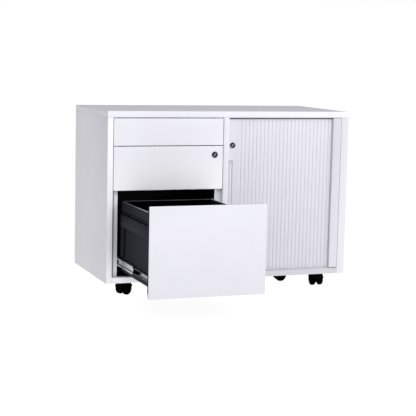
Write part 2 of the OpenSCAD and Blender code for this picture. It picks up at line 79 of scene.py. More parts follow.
class Nodes:
    """A material's node tree, with short ways to add and link nodes."""

    def __init__(self, name):
        self.mat = bpy.data.materials.new(name)
        self.mat.use_nodes = True
        self.tree = self.mat.node_tree
        self.bsdf = self.tree.nodes["Principled BSDF"]
        self.coords = self.tree.nodes.new("ShaderNodeTexCoord").outputs["Object"]

    def link(self, a, b):
        self.tree.links.new(a, b)

    def noise(self, scale, detail, stretch=None):
        n = self.tree.nodes.new("ShaderNodeTexNoise")
        n.inputs["Scale"].default_value = scale
        n.inputs["Detail"].default_value = detail
        source = self.coords
        if stretch:
            m = self.tree.nodes.new("ShaderNodeMapping")
            m.inputs["Scale"].default_value = stretch
            self.link(source, m.inputs["Vector"])
            source = m.outputs["Vector"]
        self.link(source, n.inputs["Vector"])
        return n.outputs["Fac"]

    def spread(self, value, low, high, from_low=0.3, from_high=0.7):
        r = self.tree.nodes.new("ShaderNodeMapRange")
        r.inputs["From Min"].default_value = from_low
        r.inputs["From Max"].default_value = from_high
        r.inputs["To Min"].default_value = low
        r.inputs["To Max"].default_value = high
        self.link(value, r.inputs["Value"])
        return r.outputs["Result"]

    def colour(self, value, low, high):
        m = self.tree.nodes.new("ShaderNodeMix")
        m.data_type = "RGBA"
        m.inputs["A"].default_value = (*low, 1)
        m.inputs["B"].default_value = (*high, 1)
        self.link(value, m.inputs["Factor"])
        return m.outputs["Result"]

    def bump(self, height, distance):
        b = self.tree.nodes.new("ShaderNodeBump")
        b.inputs["Strength"].default_value = 1.0
        b.inputs["Distance"].default_value = distance
        self.link(height, b.inputs["Height"])
        self.link(b.outputs["Normal"], self.bsdf.inputs["Normal"])


def surface(name, low, high, rough, metallic=0.0, blotch=9.0, grain=900.0, height=0.00004, spec=0.5,
            stretch=None, coat=0.0):
    """A surface whose colour drifts between low and high and whose gloss and relief vary."""
    n = Nodes(name)
    n.link(n.colour(n.spread(n.noise(blotch, 4.0), 0, 1), low, high), n.bsdf.inputs["Base Color"])
    n.link(n.spread(n.noise(blotch * 6, 4.0, stretch), *rough), n.bsdf.inputs["Roughness"])
    n.bsdf.inputs["Metallic"].default_value = metallic
    n.bsdf.inputs["Specular IOR Level"].default_value = spec
    n.bsdf.inputs["Coat Weight"].default_value = coat
    n.bump(n.noise(grain, 2.0, stretch), height)
    return n.mat


def tone(level, tint=(0.992, 1.06)):
    """Two near colours round one lightness; tint is green and blue against red."""
    return tuple((level * k, level * k * tint[0], level * k * tint[1]) for k in (0.985, 1.015))


# Painted light: a brighter copy of the white coat, for faces that are to look more strongly lit.
PAINTED_LIGHT_COAT = tone(0.95)
COAT = tone(0.855)
# Painted shade: a darker copy of the white coat, for the left side's outer face and the coat of the bottom
# track.
SHADED_SIDE_COAT = tone(0.65)
# Painted shade: a darker copy of the white coat, for the corner cover.
SHADED_COVER_COAT = tone(0.68)
# Painted shade: a near-black copy of the white coat, put inside the drawer column and under the top's front
# edge.
PAINTED_SHADE_COAT = tone(0.005, (1.0, 1.2))


def span(axis, low, high, *fade):
    """A region's limits on one axis, from places in the body's millimetres. None leaves a side open."""
    k = "XYZ".index(axis)
    return axis, *(None if place is None else at(place, place, place)[k] for place in (low, high)), *fade


def painted(name, base=COAT, regions=(), rough=(0.38, 0.48), spec=0.3):
    """A coat of one tone, and of another tone inside each region of (tone, spans it lies in).

    A span marked as a fade lets the region fade out from its first place to its second."""
    n = Nodes(name)
    split = n.tree.nodes.new("ShaderNodeSeparateXYZ")
    n.link(n.coords, split.inputs["Vector"])
    drift = n.spread(n.noise(9.0, 4.0), 0, 1)

    def maths(operation, a, b):
        m = n.tree.nodes.new("ShaderNodeMath")
        m.operation = operation
        for socket, value in zip(m.inputs, (a, b)):
            if isinstance(value, float):
                socket.default_value = value
            else:
                n.link(value, socket)
        return m.outputs[0]

    result = n.colour(drift, *base)
    for region_tone, spans in regions:
        inside = None
        for axis, low, high, *fade in spans:
            place = split.outputs[axis]
            tests = []
            if fade:
                tests.append(n.spread(place, 1, 0, low, high))
            elif low is not None:
                tests.append(maths("GREATER_THAN", place, low))
            if not fade and high is not None:
                tests.append(maths("LESS_THAN", place, high))
            for test in tests:
                inside = test if inside is None else maths("MULTIPLY", inside, test)
        mix = n.tree.nodes.new("ShaderNodeMix")
        mix.data_type = "RGBA"
        n.link(result, mix.inputs["A"])
        n.link(n.colour(drift, *region_tone), mix.inputs["B"])
        n.link(inside, mix.inputs["Factor"])
        result = mix.outputs["Result"]
    n.link(result, n.bsdf.inputs["Base Color"])
    n.link(n.spread(n.noise(54, 4.0), *rough), n.bsdf.inputs["Roughness"])
    n.bsdf.inputs["Specular IOR Level"].default_value = spec
    n.bump(n.noise(1400, 2.0), 0.00003)
    return n.mat


# Painted shade: near black inside the drawer column, and on the top's underside behind its front edge, where
# the gap shows the inside.
COLUMN = (PAINTED_SHADE_COAT, [span("X", 1.6, 419.1), span("Y", 21.6, 428.2), span("Z", 19.5, None)])
UNDER_TOP = (PAINTED_SHADE_COAT, [span("X", 20, 419.1), span("Y", 1.0, None), span("Z", None, 567.0)])
# Painted shade: the left side's outer face and the top's upper face in darker tones, as faces turned from the
# light.
LEFT_OUTSIDE = (SHADED_SIDE_COAT, [span("X", None, 0.4)])
TOP_OUTSIDE = (tone(0.615), [span("Y", 1.9, None), span("Z", 567.0, None)])
# Painted light on the left stile's front and on the ledge behind it, with a painted shadow fading out from
# the stile across the ledge.
LEFT_STILE = (PAINTED_LIGHT_COAT, [span("Y", None, 0.9)])
ON_LEFT_LEDGE = [span("X", 21, None), span("Y", 15, 21.3)]
LEFT_LEDGE = [(PAINTED_LIGHT_COAT, ON_LEFT_LEDGE), (tone(0.12), [span("X", 26.8, 32, "fade"), *ON_LEFT_LEDGE])]
WHITE = painted("white powder coat", SHADED_SIDE_COAT)
# Painted light: the upper front, a copy of the white coat, lighter towards its bottom.
WHITE_UPPER = painted("white coat on the upper front, painted light", tone(0.825),
                      [(tone(0.90), [span("Z", 460, 530, "fade")])])
# Painted light: the middle front, a copy of the white coat, much lighter towards its bottom.
WHITE_MIDDLE = painted("white coat on the middle front, painted light", tone(0.835),
                       [(tone(0.99, (0.997, 1.01)), [span("Z", 330, 445, "fade")])])
# Painted shade: the open file front in a darker copy of the white coat, darker still towards its bottom.
WHITE_OPEN = painted("white coat on the open front, painted shade", tone(0.755),
                     [(tone(0.70), [span("Z", 30, 250, "fade")])])
# The left side and the top carry the painted light and shade of the regions above; the right side is a darker
# copy of the white coat, painted shade.
LEFT_COAT = painted("white coat, left side, painted light and shade", COAT, [LEFT_STILE, *LEFT_LEDGE, COLUMN, LEFT_OUTSIDE])
RIGHT_COAT = painted("white coat, right side, shaded tone", tone(0.75))
TOP_COAT = painted("white coat, top, painted shade", COAT, [TOP_OUTSIDE, UNDER_TOP])
# Painted light on the right ledge of the drawer column, and painted shade inside the column, on the white
# steel parts.
RIGHT_LEDGE = (tone(0.97), [span("X", 395, 419), span("Y", 0.9, 21.6)])
WHITE_SHADE_AND_LIGHT = painted("white coat, painted shade inside the drawer column", tone(0.84), [RIGHT_LEDGE, COLUMN])
# The corner cover in the shaded copy of the white coat, painted shade.
COVER_COAT = painted("white coat, corner cover, shaded tone", SHADED_COVER_COAT)
# Painted light and shade on the base: a darker copy of the white coat, lightened on its left half as painted
# light, and near black in the drawer column.
BASE_COAT = painted("white coat, base, painted light and shade", tone(0.59),
                    [(PAINTED_LIGHT_COAT, [span("X", None, 425)]), COLUMN])
# The rounded front edges: glossier than the white coat, and brighter as a painted highlight.
EDGE_HIGHLIGHT_COAT = surface("white coat, painted highlight on front edges", (0.93, 0.925, 0.955), (0.97, 0.965, 0.99), (0.12, 0.2),
                     grain=1400, height=0.00002, coat=0.6)
# Painted shade: the slats darker towards the bottom.
SLAT = painted("white slat plastic, painted shade towards the bottom", tone(0.765, (0.985, 1.07)),
               [(tone(0.655, (0.985, 1.07)), [span("Z", 40, 540, "fade")])])
GREY = surface("grey moulded plastic", (0.76, 0.755, 0.78), (0.80, 0.795, 0.82), (0.38, 0.5), grain=1500)
DARK_TRACK = surface("dark track plastic", (0.10, 0.10, 0.105), (0.13, 0.13, 0.135), (0.45, 0.6), grain=1500)
BLACK = surface("black moulded plastic", (0.0018, 0.0018, 0.0022), (0.003, 0.003, 0.0036), (0.30, 0.42),
                grain=1800, height=0.00002, spec=0.0)
BLUE_BLACK = (1.04, 1.30)
BOX_LEFT = span("X", None, 60)
BLACK_STEEL = painted("black enamelled steel", tone(0.020, BLUE_BLACK), (), (0.36, 0.48), 0.002)
RAISED_BAND = [span("Z", 197.5, 237.8), span("X", None, 53)]
# Painted light and shade on the file box: its left side lighter towards the front and darker by the cabinet,
# a lighter raised band darker towards its front end, near-black lines at the recess step and in the grooves
# above the band, and painted shade inside the box.
FILE_BOX_LIGHT_AND_SHADE = painted(
    "black enamelled steel of the file box", tone(0.024, BLUE_BLACK),
    [(tone(0.032, BLUE_BLACK), [span("Y", -290, -40, "fade"), BOX_LEFT]),
     (tone(0.022, BLUE_BLACK), [span("Y", -40, -150, "fade"), BOX_LEFT]),
     (tone(0.040, BLUE_BLACK), RAISED_BAND),
     (tone(0.023, BLUE_BLACK), [span("Y", -384, -180, "fade"), *RAISED_BAND]),
     (tone(0.002), [span("Y", -37, -24.7), span("Z", 96, 197.0), span("X", 53, 60)]),
     (tone(0.003), [span("Z", 238.0, 242.5), BOX_LEFT]),
     (tone(0.004), [span("Z", 246.5, 250.0), BOX_LEFT]),
     (tone(0.0005), [span("X", 57.2, 381.4), span("Z", 43.2, None)])],
    (0.36, 0.48), 0.002)
# Painted highlight: the black rim in a lighter grey. Painted reflection: the bead on the right in white.
RIM_HIGHLIGHT_GREY = surface("black rim, painted grey highlight", (0.10, 0.101, 0.108), (0.13, 0.131, 0.138), (0.16, 0.24),
                    grain=1600, height=0.00001, spec=0.4, coat=0.2)
RIM_REFLECTION_WHITE = surface("rim, painted white reflection", (0.93, 0.93, 0.95), (0.98, 0.98, 1.0), (0.16, 0.24),
                     grain=1600, height=0.00001, coat=0.5)
ROLLED = dict(metallic=1.0, blotch=22, grain=700, stretch=(1, 0.04, 1), height=0.00002)
ZINC = surface("zinc plated steel", (0.55, 0.56, 0.58), (0.66, 0.67, 0.68), (0.20, 0.32), **ROLLED)
# Painted shade: a darker copy of the zinc, for the drawer members.
ZINC_SHADED = surface("zinc plated steel of the drawer members, painted shade", (0.24, 0.245, 0.26), (0.30, 0.305, 0.32),
                   (0.24, 0.36), **ROLLED)
NICKEL = dict(metallic=1.0, grain=2200, height=0.00001)
LOCK = surface("dark nickel", (0.022, 0.022, 0.028), (0.036, 0.036, 0.044), (0.22, 0.30), blotch=90, **NICKEL)
LOCK_PLUG = surface("dark nickel face", (0.03, 0.03, 0.036), (0.045, 0.045, 0.052), (0.20, 0.28),
                    blotch=90, **NICKEL)
# Painted highlight: a lighter metal plate along the keyway.
KEYWAY_HIGHLIGHT = surface("keyway, painted highlight", (0.42, 0.42, 0.45), (0.50, 0.50, 0.53), (0.25, 0.35),
                       blotch=150, **NICKEL)
WHEEL = surface("black nylon", (0.0008, 0.0008, 0.001), (0.0016, 0.0016, 0.002), (0.26, 0.36),
                grain=1500, height=0.00001, spec=0.0)
SCREW = surface("screw steel", (0.50, 0.50, 0.51), (0.58, 0.58, 0.59), (0.25, 0.35), metallic=1.0, blotch=120)
HOLE = surface("keyway shadow", (0.006, 0.006, 0.006), (0.01, 0.01, 0.01), (0.5, 0.7), blotch=150)

SLOT_MATERIAL = {
    "white_steel": WHITE_SHADE_AND_LIGHT, "white_slats": SLAT, "grey_plastic": GREY, "black_plastic": BLACK,
    "black_steel": BLACK_STEEL, "zinc_steel": ZINC, "lock_metal": LOCK, "wheel_nylon": WHEEL,
}
node_slot = {s["node"]: s["material_slot"] for s in frame["record"]["subparts"]}


def dress(obj, material):
    obj.data.materials.clear()
    obj.data.materials.append(material)


# ---------------------------------------------------------------- mesh helpers


def smooth_by_angle(obj):
    """Smooth shading, broken at edges sharper than SHARP_ANGLE."""
    for p in obj.data.polygons:
        p.use_smooth = True
    bm = bmesh.new()
    bm.from_mesh(obj.data)
    for e in bm.edges:
        if len(e.link_faces) == 2 and e.calc_face_angle(0) > math.radians(SHARP_ANGLE):
            e.smooth = False
    bm.to_mesh(obj.data)
    bm.free()


def edge_faces(obj, material, z_limits):
    """Gives the rounded edges at the front of a panel, above or below z_limits, another material, one with a
    painted highlight.
    """
    obj.data.materials.append(material)
    front = min(v.co.y for v in obj.data.vertices) + 3 * MM
    for p in obj.data.polygons:
        slanted = abs(p.normal.y) < 0.98 and abs(p.normal.z) > 0.1 and abs(p.normal.z) < 0.995
        if slanted and p.center.y < front and (p.center.z > z_limits[1] or p.center.z < z_limits[0]):
            p.material_index = 1


def obj_from(bm, name, material, body, replaced=()):
    """Makes a piece of bm that rides on a body and may stand for CAD nodes."""
    mesh = bpy.data.meshes.new(name)
    bmesh.ops.recalc_face_normals(bm, faces=bm.faces)
    bm.to_mesh(mesh)
    bm.free()
    obj = bpy.data.objects.new(name, mesh)
    bpy.context.scene.collection.objects.link(obj)
    mesh.materials.append(material)
    smooth_by_angle(obj)
    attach(obj, body)
    if replaced:
        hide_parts(*replaced)
    return obj


def add_box(bm, lo, hi, radius, segments):
    """A box between two corners, its edges rounded to radius."""
    lo, hi = Vector(lo), Vector(hi)
    made = bmesh.ops.create_cube(bm, size=1.0)["verts"]
    size = hi - lo
    for v in made:
        v.co = Vector((lo[i] + (v.co[i] + 0.5) * size[i] for i in range(3)))
    edges = list({e for v in made for e in v.link_edges})
    bmesh.ops.bevel(bm, geom=edges, offset=radius, segments=segments, profile=0.5, affect="EDGES",
                    clamp_overlap=True)


def add_prism(bm, outline, to_point, length):
    """Extrudes an outline of 2-D points: to_point(u, v, w) places them, w running from 0 to length."""
    n = len(outline)
    rings = [[bm.verts.new(to_point(u, v, w)) for u, v in outline] for w in (0.0, length)]
    for i in range(n):
        j = (i + 1) % n
        bm.faces.new((rings[0][i], rings[0][j], rings[1][j], rings[1][i]))
    bm.faces.new(rings[0])
    bm.faces.new(list(reversed(rings[1])))


def ribbon(path, thickness):
    """The outline of a strip of that thickness along an open path of 2-D points."""
    left, right = [], []
    for i, (x, y) in enumerate(path):
        a = Vector(path[max(i - 1, 0)])
        b = Vector(path[min(i + 1, len(path) - 1)])
        d = (b - a).normalized()
        k = 1.0
        if 0 < i < len(path) - 1:
            d1 = (Vector(path[i]) - a).normalized()
            k = 1.0 / max(0.5, d.dot(d1))
        n = Vector((-d.y, d.x)) * thickness / 2 * k
        left.append((x + n.x, y + n.y))
        right.append((x - n.x, y - n.y))
    return left + right[::-1]


def arc(cx, cy, r, a0, a1, n):
    """Points of an arc round (cx, cy) from a0 to a1 degrees, in n steps."""
    return [
        (cx + r * math.cos(math.radians(a0 + (a1 - a0) * i / n)),
         cy + r * math.sin(math.radians(a0 + (a1 - a0) * i / n)))
        for i in range(n + 1)
    ]


def lathe(bm, profile, matrix, steps):
    """Turns a profile of (radius, height) points in mm about the matrix's Z axis."""
    rings = []
    for k in range(steps):
        a = math.radians(360 * k / steps)
        rings.append([
            bm.verts.new(matrix @ Vector((r * MM * math.cos(a), r * MM * math.sin(a), h * MM)))
            for r, h in profile
        ])
    for k in range(steps):
        r0, r1 = rings[k], rings[(k + 1) % steps]
        for i in range(len(profile) - 1):
            bm.faces.new([r0[i], r0[i + 1], r1[i + 1], r1[i]])
    bmesh.ops.remove_doubles(bm, verts=[v for r in rings for v in r], dist=1e-6)


def soften(node, width, segments=2, smooth=True):
    """Rounds a CAD node's edges with modifiers, leaving its own vertices alone."""
    obj = nodes[node]
    weld = obj.modifiers.new("weld", "WELD")
    weld.merge_threshold = 1e-6
    bevel = obj.modifiers.new("round", "BEVEL")
    bevel.width = width
    bevel.segments = segments
    bevel.limit_method = "ANGLE"
    bevel.angle_limit = math.radians(BEVEL_ANGLE)
    bevel.use_clamp_overlap = True
    bevel.harden_normals = smooth
    for p in obj.data.polygons:
        p.use_smooth = smooth


# ---------------------------------------------------------------- CAD nodes

for name, obj in nodes.items():
    dress(obj, SLOT_MATERIAL[node_slot[name]])
for name in ("left_side", "right_side", "track_cover", "side_liner", "centre_divider", "slide_posts",
             "base_panel", "base_stiffeners", "back_panel", "shelf", "shelf_clips", "file_rails", "lock_bar",
             "upper_box", "middle_box", "file_box", "caster_plates", "top_track", "bottom_track"):
    soften(name, 0.45 * MM)
soften("lead_slat", 0.6 * MM, 3, smooth=False)
for name, material in (("left_side", LEFT_COAT), ("right_side", RIGHT_COAT), ("base_panel", BASE_COAT),
                       ("track_cover", COVER_COAT), ("top_track", DARK_TRACK), ("bottom_track", WHITE),
                       ("lead_slat", SLAT), ("file_box", FILE_BOX_LIGHT_AND_SHADE)):
    dress(nodes[name], material)

# ---------------------------------------------------------------- shell and fronts

bm = bmesh.new()
add_box(bm, at(0, 0, TOP_Z), at(CABINET_W, CABINET_D, BODY_H), 1.8 * MM, 4)
top = obj_from(bm, "top_cover", TOP_COAT, "cabinet", ["top_panel"])
edge_faces(top, EDGE_HIGHLIGHT_COAT, (at(0, 0, TOP_Z + 2).z, at(0, 0, BODY_H - 2).z))

FACE_T = 3.2
OVERLAP = 0.2
BACKING_INSET = 1.6
FILE_BOX_BOTTOM = 40.0
FRONT_COATS = {"upper": WHITE_UPPER, "middle": WHITE_MIDDLE, "file": WHITE_OPEN}


def drawer_front(label):
    """A thin white face with rounded edges and the black backing plate behind it."""
    lo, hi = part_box(label + "_front")
    body = label + "_drawer"
    face_y = lo[1] + FACE_T * MM
    bm = bmesh.new()
    add_box(bm, lo, (hi[0], face_y, hi[2]), 1.5 * MM, 4)
    panel = obj_from(bm, label + "_front_panel", FRONT_COATS[label], body, [label + "_front"])
    edge_faces(panel, EDGE_HIGHLIGHT_COAT, (lo[2] + 1.6 * MM, hi[2] - 1.6 * MM))
    inset = BACKING_INSET * MM
    bottom = at(0, 0, FILE_BOX_BOTTOM).z if label == "file" else lo[2] + inset
    bm = bmesh.new()
    back_lo = (lo[0] + inset, face_y - OVERLAP * MM, bottom)
    add_box(bm, back_lo, (hi[0] - inset, hi[1], hi[2] - inset), 0.8 * MM, 2)
    obj_from(bm, label + "_front_backing", BLACK_STEEL, body)


for label in FRONT_COATS:
    drawer_front(label)

# ---------------------------------------------------------------- tambour

SLAT_PITCH = 14.6
SLAT_T = 8.0
SLAT_GAP = 0.30
FLAT_SLATS = 25
TURNED_SLATS = 3
CURTAIN_BOTTOM = 21.5
CURTAIN_TOP = 563.0
CURTAIN_X = 474.0
CORNER_X = 839.0
CORNER_R = 28.0
SLAT_MID_Y = 15.0


def slat_outline():
    """Plan of one slat from the left end of its web: rounded face, groove on each side, thin web."""
    g = SLAT_GAP
    r = 1.3
    turns = (0.0, 0.4, 0.8, 1.2, math.pi / 2)
    face, web = -SLAT_T / 2, -SLAT_T / 2 + 1.8
    pts = [(0.0, SLAT_T / 2), (0.0, web), (g, web)]
    pts += [(g + r - r * math.cos(t), face + r - r * math.sin(t)) for t in turns]
    pts += [(SLAT_PITCH - g - r + r * math.sin(t), face + r - r * math.cos(t)) for t in turns]
    pts += [(SLAT_PITCH - g, web), (SLAT_PITCH, web), (SLAT_PITCH, SLAT_T / 2)]
    return pts


def curtain():
    """The flat slats, and those that turn round the corner behind its cover."""
    bm = bmesh.new()
    outline = slat_outline()
    length = CURTAIN_TOP - CURTAIN_BOTTOM
    for k in range(FLAT_SLATS):
        x0 = CURTAIN_X + k * SLAT_PITCH
        add_prism(bm, outline, lambda u, v, w, x0=x0: at(x0 + u, SLAT_MID_Y + v, CURTAIN_BOTTOM + w), length)
    for k in range(TURNED_SLATS):
        a = (k + 0.5) * SLAT_PITCH / CORNER_R

        def turned(u, v, w, a=a):
            along, out = u - SLAT_PITCH / 2, v - CORNER_R
            return at(CORNER_X + along * math.cos(a) - out * math.sin(a),
                      SLAT_MID_Y + CORNER_R + along * math.sin(a) + out * math.cos(a), CURTAIN_BOTTOM + w)

        add_prism(bm, outline, turned, length)
    slats = obj_from(bm, "curtain_slats", SLAT, "tambour", ["tambour_curtain"])
    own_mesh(slats)


curtain()

LEAD_Y = 9.0
PULL_X = 441.5
PULL_Z = 170.0
PULL_W = 16.0
PULL_H = 249.0
PULL_GAP = 0.2
CAP_H = 13
# Painted light and shade on the finger cup: the floor darker than the grey plastic as painted shade in the
# recess, the grip rib lighter as a painted highlight, the groove beside it darker as painted shade, the top
# cap darker, and a white line on the top lip as a painted highlight.
CUP_PAINTED_LIGHT_SHADE = painted(
    "grey moulded cup, painted light and shade", tone(0.64),
    [(tone(0.90), [span("X", PULL_X + 7.2, PULL_X + 11.2), span("Z", PULL_Z + CAP_H, PULL_Z + 236)]),
     (tone(0.55), [span("X", PULL_X + 11.2, PULL_X + 14.4)]),
     (tone(0.56), [span("Z", PULL_Z + 235.5, PULL_Z + 248)]),
     (PAINTED_LIGHT_COAT, [span("Z", PULL_Z + 248.4, None)])])


def finger_pull():
    """A shallow moulded cup: side walls, flat floor, grip rib, and a solid cap with a lip at each end."""
    x0, x1 = PULL_X + PULL_GAP, PULL_X + PULL_W - PULL_GAP
    z0, z1 = PULL_Z + PULL_GAP, PULL_Z + PULL_H - PULL_GAP
    y0, floor_y, back_y = LEAD_Y - 0.6, LEAD_Y + 1.6, LEAD_Y + 9.4
    bm = bmesh.new()
    add_box(bm, at(x0, y0, z0), at(x0 + 1.0, back_y, z1), 0.3 * MM, 2)
    add_box(bm, at(x1 - 1.2, y0, z0), at(x1, back_y, z1), 0.4 * MM, 2)
    add_box(bm, at(x0, floor_y, z0), at(x1, back_y, z1), 0.3 * MM, 2)
    add_box(bm, at(x0 + 7.4, y0 + 0.8, z0 + CAP_H), at(x0 + 10.6, back_y, z1 - CAP_H), 0.8 * MM, 3)
    for low, high in ((z0, z0 + CAP_H), (z1 - CAP_H, z1)):
        add_box(bm, at(x0, y0 + 0.7, low), at(x1, back_y, high), 0.4 * MM, 2)
    for low, high in ((z0 - 1.4, z0 + 1.0), (z1 - 1.0, z1 + 1.4)):
        add_box(bm, at(x0 - 0.8, y0 - 0.7, low), at(x1 + 0.8, LEAD_Y + 1, high), 0.5 * MM, 2)
    obj_from(bm, "finger_cup", CUP_PAINTED_LIGHT_SHADE, "tambour", ["finger_pull"])


finger_pull()

# ---------------------------------------------------------------- locks

KEYWAY_TILT = 40


def lock_face(label, bodies, x, z, face_y, bezel_r):
    """Bezel ring and plug with its cam and a slanted keyway, on the axis through x and z."""
    housing, turning = bodies
    bezel_node, plug_node = label + "_body", label + "_plug"
    out = Matrix.Translation(at(x, face_y, z)) @ Matrix.Rotation(math.radians(90), 4, "X")
    ring = [(7.3, -12), (7.3, 0.9), (7.7, 1.5), (8.4, 2.0), (bezel_r - 1.2, 2.0), (bezel_r - 0.3, 1.5),
            (bezel_r, 0.7), (bezel_r, 0.0), (bezel_r - 2.1, 0.0), (bezel_r - 2.1, -12)]
    bm = bmesh.new()
    lathe(bm, ring, out, LATHE_STEPS)
    obj_from(bm, label + "_bezel", LOCK, housing, [bezel_node])
    bm = bmesh.new()
    plug = [(0.0, 1.2), (6.2, 1.2), (6.9, 0.8), (7.0, 0.2), (7.0, -24.5), (0.0, -24.5)]
    lathe(bm, plug, out, LATHE_STEPS)
    _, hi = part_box(plug_node)
    cam_lo, cam_hi = at(x - 5, 0, z), at(x + 5, 0, 0)
    add_box(bm, (cam_lo.x, hi.y - 2 * MM, cam_lo.z), (cam_hi.x, hi.y, hi.z), 0.4 * MM, 2)
    obj_from(bm, plug_node, LOCK_PLUG, turning, [plug_node])
    turned = Matrix.Translation(at(x, face_y, z)) @ Matrix.Rotation(math.radians(KEYWAY_TILT), 4, "Y")
    # The lighter plate is a painted highlight along the keyway; the dark slot is the keyway shadow.
    for part, material, half_w, half_l, out_y in (("_keyway_highlight", KEYWAY_HIGHLIGHT, 1.5, 6.0, 1.45),
                                                  ("_keyway", HOLE, 0.5, 4.4, 1.60)):
        bm = bmesh.new()
        add_box(bm, Vector((-half_w, -out_y, -half_l)) * MM, Vector((half_w, -0.9, half_l)) * MM, 0.1 * MM, 2)
        bmesh.ops.transform(bm, matrix=turned, verts=bm.verts)
        obj_from(bm, label + part, material, turning)


lock_face("drawer_lock", ("middle_drawer", "drawer_lock"), 386, 438, 0, 11)
lock_face("tambour_lock", ("tambour", "tambour_lock"), 455, 469.5, LEAD_Y, 10)

# ---------------------------------------------------------------- slides

SLIDE_X = 43.0
COLUMN_MIDDLE = 219.25


def on_slide(side, x, y, z):
    """A point of a pair of slides, x from the outer face. Side -1 is the mirror image on the right."""
    return at(COLUMN_MIDDLE + side * (SLIDE_X + x - COLUMN_MIDDLE), y, z)


def add_slide_box(bm, side, lo, hi, radius, segments):
    """A rounded box between two points of a slide."""
    a, b = on_slide(side, *lo), on_slide(side, *hi)
    add_box(bm, [min(p, q) for p, q in zip(a, b)], [max(p, q) for p, q in zip(a, b)], radius, segments)


def channel(label, body, slot_node, path, y0, y1, z, metal=ZINC):
    """A rolled channel along Y and its mirror image, from a path of (x from the slide, height) points."""
    bm = bmesh.new()
    outline = ribbon(path, CHANNEL_WALL)
    for side in SIDES:
        add_prism(bm, outline, lambda u, v, w, side=side: on_slide(side, u, y0 + w, z + v), y1 - y0)
    obj_from(bm, label, metal, body, [slot_node])


def mirrored(path):
    return [(u, -v) for u, v in reversed(path)] + path


def outer_path():
    half = 17.0
    return mirrored([(0.6, 4), (0.6, half - 3.2)] + arc(3.8, half - 3.0, 3.2, 180, 90, 5)
                    + arc(6.6, half - 2.4, 2.4, 90, 0, 5) + [(9.0, half - 3.4)])


def centre_path():
    """The middle member: a recessed web between two round raceways."""
    half = 13.4
    return mirrored([(5.2, 3), (5.2, half - 6.6), (4.6, half - 5.8), (2.6, half - 5.0)]
                    + arc(4.6, half - 2.4, 2.4, 200, 90, 6) + arc(7.4, half - 2.6, 2.6, 90, 10, 5))


def inner_path():
    half = 9.4
    return mirrored([(12.1, 2), (12.1, half - 4.0), (11.2, half - 3.6), (10.4, half - 2.6)]
                    + arc(9.2, half - 1.8, 1.8, 0, 90, 4) + arc(7.2, half - 2.0, 2.0, 90, 165, 5))


SLIDE_Z = {"upper": 500.0, "middle": 348.5, "file": 71.5}
SLIDE_START = 25.0
SLIDE_END = SLIDE_START + 395.0
CENTRE_START = 45.0
INNER_START = 20.0
CHANNEL_WALL = 1.2
OPEN = 402.0
SHARE = 0.5


def retainers(label, z):
    """The black ball retainer at the front end of each cabinet member."""
    bm = bmesh.new()
    for side in SIDES:
        for h0, h1 in ((-8.5, -2.5), (-2.5, 4.0)):
            add_slide_box(bm, side, (6.6, 23.5 - h0 / 4, z + h0), (9.2, 33.0, z + h1), 0.6 * MM, 2)
    obj_from(bm, label + "_retainers", BLACK, "cabinet")


def groove_shade_strips(label, z, moved):
    """Dark strips along the raceway grooves of each middle member, painted shade."""
    bm = bmesh.new()
    y0, y1 = CENTRE_START + 1 + moved, SLIDE_END - 1 + moved
    for side in SIDES:
        for h0, h1 in ((-8.2, -3.4), (8.0, 9.4)):
            add_slide_box(bm, side, (4.1, y0, z + h0), (4.8, y1, z + h1), 0.1 * MM, 1)
    obj_from(bm, label + "_groove_shade_strips", DARK_TRACK, "runner_" + label)


LEVER_OUTLINE = [
    (0, 9.0), (-7, 9.8), (-12, 7.4), (-17, 9.6), (-24, 8.8), (-29, 5), (-40, 4.4), (-47, 6.6),
    (-54, 5.4), (-57, 1), (-53, -3.6), (-42, -3.2), (-33, -6.4), (-27, -9.4), (-20, -7.2),
    (-13, -9.8), (-7, -7), (0, -9), (3, -3.6), (1.5, 0), (4, 4.2),
]
LEVER_X = 6.3
LEVER_T = 2.0


def release_levers(label, z, end):
    """The toothed black lever in each drawer member, where the middle member ends."""
    bm = bmesh.new()
    for side in SIDES:
        add_prism(bm, LEVER_OUTLINE,
                  lambda u, v, w, side=side: on_slide(side, LEVER_X + w, end + u, z + v), LEVER_T)
    obj_from(bm, label + "_release_levers", BLACK, label + "_drawer",
             ["slide_levers_" + label])


def slides(label, z):
    """A pair of slides. A drawer member moves with its drawer, and a middle member by SHARE of that."""
    moved = -OPEN if label == "file" else 0.0
    drawer = label + "_drawer"
    runner = "runner_" + label
    shared = SHARE * moved
    channel(label + "_runner_outer", "cabinet", "outer_slides_" + label, outer_path(), SLIDE_START - 3,
            SLIDE_END, z)
    channel(label + "_runner_centre", runner, "centre_slides_" + label, centre_path(),
            CENTRE_START + shared, SLIDE_END + shared, z)
    channel(label + "_runner_inner", drawer, "inner_slides_" + label, inner_path(),
            INNER_START + moved, SLIDE_END + moved, z, ZINC_SHADED)
    retainers(label, z)
    groove_shade_strips(label, z, shared)
    release_levers(label, z, CENTRE_START + (1 - SHARE) * OPEN - 2 + moved)


for label, z in SLIDE_Z.items():
    slides(label, z)

# ---------------------------------------------------------------- drawer rims

BOX_X0, BOX_X1 = 55.7, 382.8
BOX_L = 391.5
FRONT_T = 18.0
RIM_Z = {"upper": 544.0, "middle": 418.0, "file": 280.0}
RIM_END = FRONT_T + BOX_L
RIM_START = FRONT_T + 1.3
BEAD_R = 2.1


